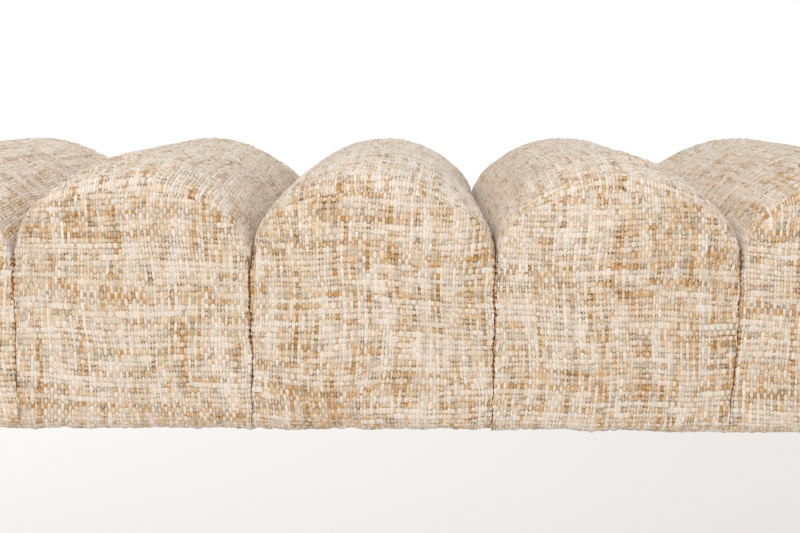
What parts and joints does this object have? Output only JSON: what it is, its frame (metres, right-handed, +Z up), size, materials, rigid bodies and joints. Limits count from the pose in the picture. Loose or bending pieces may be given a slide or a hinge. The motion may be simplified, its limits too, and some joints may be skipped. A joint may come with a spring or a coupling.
{
  "type": "upholstered bench",
  "caption": "Upholstered bench: a row of arched, loaf-shaped seat segments in slubby cream and tan weave on a hidden timber frame with tapered round wooden legs.",
  "frame": {"origin": "on the floor, under the middle of the bench", "axes": "X along the bench, Y from its front to its back, Z up"},
  "size_m": [1.397, 0.46, 0.4499],
  "materials": {
    "cover_fabric": "matte",
    "fibre_wrap": "matte",
    "foam": "matte",
    "listing_tape": "matte",
    "frame_timber": "matte",
    "deck_plywood": "matte",
    "block_timber": "matte",
    "leg_wood": "satin",
    "dowel_wood": "matte",
    "screw_steel": "satin",
    "bolt_steel": "satin",
    "staple_steel": "satin",
    "glide_plastic": "satin",
    "dust_cloth": "matte"
  },
  "bodies": {
    "root": {"seat_cover_1": "cover_fabric", "fibre_wrap_1": "fibre_wrap", "foam_core_1": "foam", "seat_cover_2": "cover_fabric", "fibre_wrap_2": "fibre_wrap", "foam_core_2": "foam", "seat_cover_3": "cover_fabric", "fibre_wrap_3": "fibre_wrap", "foam_core_3": "foam", "seat_cover_4": "cover_fabric", "fibre_wrap_4": "fibre_wrap", "foam_core_4": "foam", "seat_cover_5": "cover_fabric", "fibre_wrap_5": "fibre_wrap", "foam_core_5": "foam", "seat_cover_6": "cover_fabric", "fibre_wrap_6": "fibre_wrap", "foam_core_6": "foam", "seat_cover_7": "cover_fabric", "fibre_wrap_7": "fibre_wrap", "foam_core_7": "foam", "front_pads": "foam", "back_pads": "foam", "end_pads": "foam", "listing_tape_1": "listing_tape", "listing_tape_2": "listing_tape", "listing_tape_3": "listing_tape", "listing_tape_4": "listing_tape", "listing_tape_5": "listing_tape", "listing_tape_6": "listing_tape", "front_rail": "frame_timber", "back_rail": "frame_timber", "left_end_rail": "frame_timber", "right_end_rail": "frame_timber", "left_cross_rail": "frame_timber", "right_cross_rail": "frame_timber", "seat_deck": "deck_plywood", "corner_block_front_left": "block_timber", "leg_front_left": "leg_wood", "corner_block_front_right": "block_timber", "leg_front_right": "leg_wood", "corner_block_back_left": "block_timber", "leg_back_left": "leg_wood", "corner_block_back_right": "block_timber", "leg_back_right": "leg_wood", "frame_dowels": "dowel_wood", "frame_screws": "screw_steel", "deck_screws": "screw_steel", "leg_inserts": "bolt_steel", "leg_bolts": "bolt_steel", "dust_cover_staples": "staple_steel", "glides": "glide_plastic", "dust_cover": "dust_cloth"}
  },
  "joints": []
}
